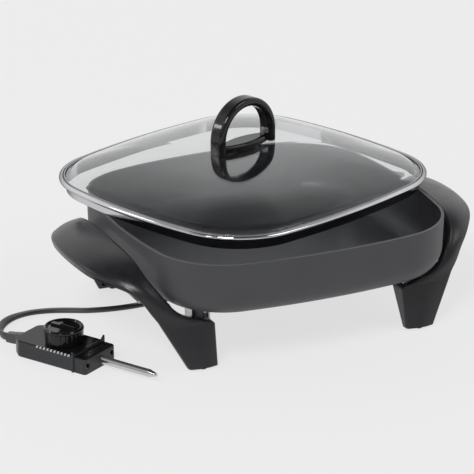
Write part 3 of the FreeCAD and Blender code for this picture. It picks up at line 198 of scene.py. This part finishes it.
def make_glass():
    """The dome: an upper and a lower side of rings, joined at the edge and closed in the middle."""
    high = GLASS_LOW + GLASS_EDGE
    start = 1 - GLASS_FLAT / LID_HALF[0]
    rings = dome_rings(GLASS_FLAT, high, high, start)
    under = dome_rings(UNDER_FLAT, GLASS_LOW, high - GLASS_THICK, start - UNDER_INSET)
    around = len(rings[0])
    count = len(rings)
    points = [p for ring in rings + under for p in ring]
    points += [(*LID_AT, high + GLASS_RISE), (*LID_AT, high + GLASS_RISE - GLASS_THICK)]
    faces = []

    def band(a, b, flip):
        for i in range(around):
            j = (i + 1) % around
            quad = [a * around + i, a * around + j, b * around + j, b * around + i]
            faces.append(quad[::-1] if flip else quad)

    for k in range(count - 1):
        band(k, k + 1, False)
        band(count + k, count + k + 1, True)
    band(0, count, True)
    last = (count - 1) * around
    low_last = (2 * count - 1) * around
    for i in range(around):
        j = (i + 1) % around
        faces.append([last + i, last + j, len(points) - 2])
        faces.append([low_last + j, low_last + i, len(points) - 1])
    mesh = bpy.data.meshes.new("glass_dome")
    mesh.from_pydata(points, [], faces)
    mesh.shade_smooth()
    glass = bpy.data.objects.new("glass_dome", mesh)
    scene.collection.objects.link(glass)
    return glass


glass = make_glass()
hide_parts("lid_glass")
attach(glass, "lid")


# Materials

# The heat control's place and its row of notches with their painted highlights, in its own frame
CONTROL_AT = (-0.2038, -0.0685)
CONTROL_TURN = math.radians(-59.2)
NOTCH_STEP = 0.0042
NOTCH_FIRST = 0.0174
NOTCH_END = 0.0594
NOTCH_START = 0.0194 + NOTCH_STEP * 20.5
NOTCH_SIDE = 0.0229
NOTCH_LOW = 0.0148
# The width of each notch's painted highlight as a share of their step, counted to both sides of a
# notch's middle
NOTCH_HALF = 0.26
# How far moulded plastic's shade changes
SHADE_CHANGE = 0.25
# The heights of the seam in the rim, where a dark line of painted shade lies on the steel
SEAM_LOW = 0.128
SEAM_HIGH = 0.1285
# Heights at the pan's edge: where the inside ends, and where the bare edge begins
PAN_INSIDE = (0.1125, 0.1131)
PAN_EDGE = (0.11345, 0.11362)


class Shader:
    """A small helper that builds one node material."""

    def __init__(self, name):
        self.material = bpy.data.materials.new(name)
        self.material.use_nodes = True
        self.tree = self.material.node_tree
        self.tree.nodes.clear()
        self.output = self.tree.nodes.new("ShaderNodeOutputMaterial")
        self.main = self.tree.nodes.new("ShaderNodeBsdfPrincipled")
        self.join(self.main.outputs[0], self.output.inputs["Surface"])
        self.place = self.tree.nodes.new("ShaderNodeTexCoord")
        self.shape = self.tree.nodes.new("ShaderNodeNewGeometry")

    def join(self, a, b):
        self.tree.links.new(a, b)

    def put(self, socket, value):
        """Sets a socket to a number or a colour, or links an output to it."""
        if isinstance(value, (int, float)):
            socket.default_value = value
        elif isinstance(value, tuple):
            if len(socket.default_value) > len(value):
                value += (1,)
            socket.default_value = value
        else:
            self.join(value, socket)

    def set(self, **values):
        """Puts values in the main shader's sockets."""
        for name, value in values.items():
            self.put(self.main.inputs[name.replace("_", " ")], value)
        return self

    def noise(self, scale, detail=3.0, rough=0.55, stretch=None, seed=0.0):
        node = self.tree.nodes.new("ShaderNodeTexNoise")
        node.inputs["Scale"].default_value = scale
        node.inputs["Detail"].default_value = detail
        node.inputs["Roughness"].default_value = rough
        where = self.tree.nodes.new("ShaderNodeMapping")
        where.inputs["Location"].default_value = (seed, seed * 0.7, seed * 1.3)
        where.inputs["Scale"].default_value = stretch or (1, 1, 1)
        self.join(self.place.outputs["Object"], where.inputs[0])
        self.join(where.outputs[0], node.inputs["Vector"])
        return node.outputs["Fac"]

    def spread(self, source, low, high, start=0.3, end=0.7):
        """A source between start and end as a number between low and high."""
        node = self.tree.nodes.new("ShaderNodeMapRange")
        self.put(node.inputs["Value"], source)
        for name, value in (("From Min", start), ("From Max", end), ("To Min", low), ("To Max", high)):
            self.put(node.inputs[name], value)
        return node.outputs["Result"]

    def math(self, kind, a, b=0.0):
        node = self.tree.nodes.new("ShaderNodeMath")
        node.operation = kind
        self.put(node.inputs[0], a)
        self.put(node.inputs[1], b)
        return node.outputs[0]

    def mix(self, share, a, b):
        node = self.tree.nodes.new("ShaderNodeMix")
        node.data_type = "RGBA"
        self.put(node.inputs["Factor"], share)
        self.put(node.inputs[6], a)
        self.put(node.inputs[7], b)
        return node.outputs[2]

    def part(self, source, axis):
        node = self.tree.nodes.new("ShaderNodeSeparateXYZ")
        self.join(source, node.inputs[0])
        return node.outputs[axis]

    def dot(self, a, b):
        node = self.tree.nodes.new("ShaderNodeVectorMath")
        node.operation = "DOT_PRODUCT"
        self.join(a, node.inputs[0])
        self.join(b, node.inputs[1])
        return node.outputs["Value"]

    def bump(self, source, height, distance=0.001, radius=None):
        """Relief from a source, on edges softened by a small radius."""
        node = self.tree.nodes.new("ShaderNodeBump")
        node.inputs["Strength"].default_value = height
        node.inputs["Distance"].default_value = distance
        self.join(source, node.inputs["Height"])
        if radius:
            soft = self.tree.nodes.new("ShaderNodeBevel")
            soft.samples = 6
            soft.inputs["Radius"].default_value = radius
            self.join(soft.outputs[0], node.inputs["Normal"])
        self.join(node.outputs[0], self.main.inputs["Normal"])
        return self


def plastic(name, colour, rough, grain, height, radius=0.0005, spread=0.05, shine=0.5):
    """Moulded plastic: fine grain, slight changes of gloss and shade, and soft edges."""
    s = Shader(name)
    cloud = s.noise(38.0, 4.0, seed=3.0)
    fine = s.noise(grain, 2.0)
    darker = tuple(c * (1 - SHADE_CHANGE) for c in colour)
    brighter = tuple(c * (1 + SHADE_CHANGE) for c in colour)
    s.set(Base_Color=s.mix(s.spread(cloud, 0.0, 1.0), darker, brighter), Specular_IOR_Level=shine)
    s.set(Roughness=s.spread(cloud, rough - spread, rough + spread))
    s.bump(fine, height, 0.0002, radius)
    return s.material


def metal(name, colour, rough, stretch=(1, 1, 40), scale=90.0, height=0.05):
    """Metal with a drawn or brushed grain."""
    s = Shader(name)
    grain = s.noise(scale, 4.0, stretch=stretch)
    cloud = s.noise(25.0, 3.0, seed=5.0)
    dull = tuple(c * 0.82 for c in colour)
    s.set(Metallic=1.0, Base_Color=s.mix(s.spread(cloud, 0.0, 1.0), dull, colour))
    s.set(Roughness=s.spread(grain, rough * 0.7, rough * 1.4))
    s.bump(grain, height, 0.0002, 0.0003)
    return s.material


def pan_material():
    """Charcoal coat: satin outside, darker and smoother inside, and a little lighter along the edge."""
    s = Shader("pan_coat")
    place = s.place.outputs["Object"]
    height = s.part(place, 2)
    flat = s.tree.nodes.new("ShaderNodeVectorMath")
    flat.operation = "MULTIPLY"
    flat.inputs[1].default_value = (1, 1, 0)
    s.join(place, flat.inputs[0])
    outwards = s.dot(flat.outputs[0], s.shape.outputs["True Normal"])
    walls_in = s.spread(outwards, 1.0, 0.0, -0.02, 0.0)
    up = s.part(s.shape.outputs["True Normal"], 2)
    below = s.spread(height, 1.0, 0.0, *PAN_INSIDE)
    floor_in = s.math("MULTIPLY", s.spread(up, 0.0, 1.0, 0.5, 0.7), below)
    inside = s.math("MAXIMUM", walls_in, floor_in)
    speckle = s.noise(900.0, 3.0)
    cloud = s.noise(14.0, 4.0, seed=2.0)
    outer = s.mix(s.spread(cloud, 0.0, 1.0), (0.050, 0.0505, 0.054), (0.062, 0.0625, 0.067))
    outer = s.mix(s.spread(speckle, 0.0, 0.3, 0.5, 0.75), outer, (0.075, 0.075, 0.08))
    inner = s.mix(s.spread(cloud, 0.0, 1.0), (0.021, 0.021, 0.023), (0.029, 0.029, 0.032))
    coat = s.mix(inside, outer, inner)
    level = s.spread(up, 0.0, 1.0, 0.7, 0.9)
    edge = s.math("MULTIPLY", s.spread(height, 0.0, 1.0, *PAN_EDGE), level)
    colour = s.mix(edge, coat, (0.085, 0.085, 0.09))
    s.set(Base_Color=colour, Specular_IOR_Level=0.32)
    s.set(Roughness=s.math("SUBTRACT", s.spread(cloud, 0.44, 0.52), s.math("MULTIPLY", inside, 0.12)))
    s.bump(speckle, 0.22, 0.00025, 0.0006)
    return s.material


def glass_material():
    """Clear tempered glass that lets light through to the pan."""
    s = Shader("lid_glass")
    wave = s.noise(9.0, 2.0)
    smudge = s.noise(30.0, 5.0, seed=4.0)
    tint = s.mix(s.spread(smudge, 0.0, 1.0), (0.69, 0.705, 0.705), (0.73, 0.745, 0.745))
    s.set(Base_Color=tint, IOR=1.5)
    s.set(Roughness=s.spread(smudge, 0.0, 0.02), Transmission_Weight=1.0)
    s.bump(wave, 0.05, 0.001)
    clear = s.tree.nodes.new("ShaderNodeBsdfTransparent")
    clear.inputs[0].default_value = (0.9, 0.92, 0.92, 1)
    path = s.tree.nodes.new("ShaderNodeLightPath")
    both = s.tree.nodes.new("ShaderNodeMixShader")
    s.join(path.outputs["Is Shadow Ray"], both.inputs[0])
    s.join(s.main.outputs[0], both.inputs[1])
    s.join(clear.outputs[0], both.inputs[2])
    s.join(both.outputs[0], s.output.inputs["Surface"])
    return s.material


def rim_material():
    """The rim's polished steel, darker at a glancing view, with a dark line of painted shade in the
    groove between bead and lip.
    """
    s = Shader("rim_steel")
    high = s.part(s.place.outputs["Object"], 2)
    up = s.part(s.shape.outputs["True Normal"], 2)
    grain = s.noise(40.0, 4.0, stretch=(1, 1, 60))
    cloud = s.noise(25.0, 3.0, seed=5.0)
    steel = s.mix(s.spread(cloud, 0.0, 1.0), (0.60, 0.60, 0.61), (0.68, 0.68, 0.69))
    # Painted shade: a near-black line on the seam's level and upright faces, standing for its shade and
    # dark reflection
    above = s.math("GREATER_THAN", high, SEAM_LOW)
    deep = s.math("MULTIPLY", above, s.math("LESS_THAN", high, SEAM_HIGH))
    level = s.math("GREATER_THAN", up, 0.95)
    upright = s.math("LESS_THAN", up, 0.2)
    painted_seam_shade = s.math("MULTIPLY", deep, s.math("MAXIMUM", level, upright))
    s.set(Metallic=1.0, Base_Color=s.mix(painted_seam_shade, steel, (0.05, 0.05, 0.05)))
    s.set(Specular_Tint=(0.25, 0.25, 0.25))
    s.set(Roughness=s.spread(grain, 0.05, 0.1))
    s.bump(grain, 0.02, 0.0002, 0.0003)
    return s.material


def control_place(s):
    """Places in the heat control's own frame: its face at the middle, its probe along +X."""
    where = s.tree.nodes.new("ShaderNodeMapping")
    where.vector_type = "TEXTURE"
    where.inputs["Location"].default_value = (*CONTROL_AT, 0)
    where.inputs["Rotation"].default_value = (0, 0, CONTROL_TURN)
    s.join(s.place.outputs["Object"], where.inputs[0])
    return where.outputs[0]


def case_material():
    """The control's case: polished on top, finely textured at the sides. Painted shade makes the top
    nearly black and painted light makes the sides paler; a row of notches on one edge has painted
    highlights."""
    s = Shader("case_plastic")
    place = control_place(s)
    along = s.part(place, 0)
    across = s.part(place, 1)
    high = s.part(s.place.outputs["Object"], 2)
    up = s.part(s.shape.outputs["Normal"], 2)
    top = s.spread(up, 0.0, 1.0, 0.5, 0.9)
    cloud = s.noise(38.0, 4.0, seed=3.0)
    fine = s.noise(1100.0, 2.0)
    # Painted light and shade: the sides get a paler colour and the top a near-black one for how light
    # falls on them, and shade mixes the two by the face's slope
    side_painted_light = s.mix(s.spread(fine, 0.0, 1.0), (0.026, 0.027, 0.03), (0.048, 0.049, 0.053))
    top_painted_shade = s.mix(s.spread(cloud, 0.0, 1.0), (0.005, 0.005, 0.006), (0.008, 0.008, 0.009))
    shade = s.mix(top, side_painted_light, top_painted_shade)
    # Painted highlights: pale spots on the row of notches along one edge, standing for glints on the
    # ribs
    step = s.math("FRACT", s.math("DIVIDE", s.math("ADD", along, NOTCH_START), NOTCH_STEP))
    spot = s.math("LESS_THAN", s.math("ABSOLUTE", s.math("SUBTRACT", step, 0.5)), NOTCH_HALF)
    stretch = s.math("MULTIPLY", s.math("GREATER_THAN", along, -NOTCH_END),
                     s.math("LESS_THAN", along, -NOTCH_FIRST))
    edge = s.math("MULTIPLY", s.math("LESS_THAN", across, -NOTCH_SIDE),
                  s.math("GREATER_THAN", high, NOTCH_LOW))
    painted_notch_highlight = s.math("MULTIPLY", s.math("MULTIPLY", spot, stretch), edge)
    s.set(Base_Color=s.mix(painted_notch_highlight, shade, (0.55, 0.55, 0.56)), Specular_IOR_Level=0.2)
    s.set(Roughness=s.mix(top, (0.32, 0.32, 0.32), (0.1, 0.1, 0.1)))
    s.bump(fine, 0.12, 0.0002, 0.0008)
    return s.material


looks = {
    "pan_coat": pan_material(),
    "element_steel": metal("element_steel", (0.24, 0.23, 0.22), 0.5, (1, 1, 1), 300.0, 0.2),
    "white_ceramic": plastic("white_ceramic", (0.78, 0.75, 0.69), 0.55, 600.0, 0.3),
    "pin_steel": metal("pin_steel", (0.62, 0.62, 0.62), 0.22),
    "guard_steel": metal("guard_steel", (0.56, 0.56, 0.57), 0.3, (40, 1, 1)),
    "handle_plastic": plastic("handle_plastic", (0.013, 0.013, 0.0155), 0.3, 1500.0, 0.3, 0.0009,
                              shine=0.42),
    "foot_rubber": plastic("foot_rubber", (0.03, 0.03, 0.03), 0.75, 700.0, 0.5),
    "screw_steel": metal("screw_steel", (0.55, 0.55, 0.56), 0.28, (1, 1, 1), 500.0),
    "cord_vinyl": plastic("cord_vinyl", (0.045, 0.046, 0.05), 0.36, 500.0, 0.12, 0.0003),
    "blade_brass": metal("blade_brass", (0.74, 0.62, 0.38), 0.22, (1, 1, 30)),
    "lid_glass": glass_material(),
    "rim_steel": rim_material(),
    "gloss_black": plastic("gloss_black", (0.006, 0.006, 0.0065), 0.05, 300.0, 0.02, 0.0006,
                           spread=0.02, shine=0.4),
    "case_plastic": case_material(),
    "probe_steel": metal("probe_steel", (0.72, 0.72, 0.73), 0.16, (30, 30, 1), 60.0, 0.03),
    "contact_brass": metal("contact_brass", (0.36, 0.27, 0.13), 0.3),
    "seal_rubber": plastic("seal_rubber", (0.03, 0.03, 0.03), 0.6, 600.0, 0.3),
}
for piece in frame["record"]["subparts"]:
    node = nodes[piece["node"]]
    look = looks[piece["material_slot"]]
    if not node.material_slots:
        node.data.materials.append(look)
    for place in node.material_slots:
        place.material = look
cord.data.materials.append(looks["cord_vinyl"])
glass.data.materials.append(looks["lid_glass"])


# Floor, light and surroundings

FLOOR_GLOW = 0.69
FLOOR_REACH = 12.0
FLOOR_DROP = 0.0002
STRIP_AWAY = 2.6
STRIP_MIDDLE = Vector((0, 0, 0.15))
# How bright the room is on the camera's side, next to the white sweep behind
NEAR_SHADE = 0.38
# Brightness of the room by height: pale walls behind, a dark ceiling
SKY = ((0.0, 0.85), (0.5, 1.0), (0.64, 0.85), (0.76, 0.3), (0.86, 0.1), (1.0, 0.08))


def make_floor():
    """A pale floor that glows a little, so it stays white and still takes the object's shadow."""
    mesh = bpy.data.meshes.new("floor")
    r = FLOOR_REACH
    mesh.from_pydata([(-r, -r, 0), (r, -r, 0), (r, r, 0), (-r, r, 0)], [], [(0, 1, 2, 3)])
    floor = bpy.data.objects.new("floor", mesh)
    scene.collection.objects.link(floor)
    floor.location.z = -FLOOR_DROP
    s = Shader("floor")
    s.set(Base_Color=(0.18, 0.18, 0.18), Roughness=0.9, Specular_IOR_Level=0.0)
    s.set(Emission_Color=(1, 1, 1), Emission_Strength=FLOOR_GLOW)
    mesh.materials.append(s.material)


def make_sun(name, azimuth, elevation, strength, spread):
    """A distant lamp at an azimuth and elevation, as wide as its spread, all in degrees."""
    data = bpy.data.lights.new(name, "SUN")
    data.energy = strength
    data.angle = math.radians(spread)
    lamp = bpy.data.objects.new(name, data)
    scene.collection.objects.link(lamp)
    a = math.radians(azimuth)
    e = math.radians(elevation)
    back = Vector((math.sin(a) * math.cos(e), -math.cos(a) * math.cos(e), math.sin(e)))
    lamp.rotation_mode = "QUATERNION"
    lamp.rotation_quaternion = back.to_track_quat("Z", "Y")


def make_strip(name, toward, shape, strength):
    """A tall narrow lamp that shows as a streak in the glossy pieces."""
    data = bpy.data.lights.new(name, "AREA")
    data.shape = "RECTANGLE"
    data.size, data.size_y = shape
    data.energy = strength
    lamp = bpy.data.objects.new(name, data)
    scene.collection.objects.link(lamp)
    away = Vector(toward).normalized()
    lamp.location = STRIP_MIDDLE + away * STRIP_AWAY
    lamp.rotation_mode = "QUATERNION"
    lamp.rotation_quaternion = away.to_track_quat("Z", "Y")


def make_world():
    """The room as light: brightness by height, and dimmer on the camera's side."""
    world = bpy.data.worlds.new("studio")
    scene.world = world
    world.use_nodes = True
    tree = world.node_tree
    tree.nodes.clear()
    out = tree.nodes.new("ShaderNodeOutputWorld")
    back = tree.nodes.new("ShaderNodeBackground")
    place = tree.nodes.new("ShaderNodeTexCoord")
    split = tree.nodes.new("ShaderNodeSeparateXYZ")
    ramp = tree.nodes.new("ShaderNodeValToRGB")
    tree.links.new(place.outputs["Generated"], split.inputs[0])
    tree.links.new(split.outputs[2], ramp.inputs[0])
    stops = ramp.color_ramp.elements
    for at, shade in SKY[1:-1]:
        stops.new(at)
    for stop, (at, shade) in zip(stops, SKY):
        stop.position = at
        stop.color = (shade, shade, shade * 1.01, 1)
    toward = tree.nodes.new("ShaderNodeVectorMath")
    toward.operation = "DOT_PRODUCT"
    toward.inputs[1].default_value = (-CAMERA_BACK.x, -CAMERA_BACK.y, 0)
    depth = tree.nodes.new("ShaderNodeMapRange")
    depth.interpolation_type = "SMOOTHSTEP"
    limits = {"From Min": -0.45, "From Max": 0.25, "To Min": NEAR_SHADE, "To Max": 1.0}
    for name, number in limits.items():
        depth.inputs[name].default_value = number
    tree.links.new(place.outputs["Generated"], toward.inputs[0])
    tree.links.new(toward.outputs["Value"], depth.inputs["Value"])
    tree.links.new(depth.outputs["Result"], back.inputs["Strength"])
    tree.links.new(ramp.outputs[0], back.inputs[0])
    tree.links.new(back.outputs[0], out.inputs[0])


make_floor()
make_sun("key", -46, 46, 1.35, 18)
make_sun("fill", 50, 46, 0.5, 30)
make_strip("left strip", (-0.83, 0.4, 0.36), (0.1, 1.3), 4.0)
make_strip("front strip", (-0.9, -0.35, 0.55), (0.12, 1.2), 4.0)
make_world()
scene.view_settings.view_transform = "Standard"
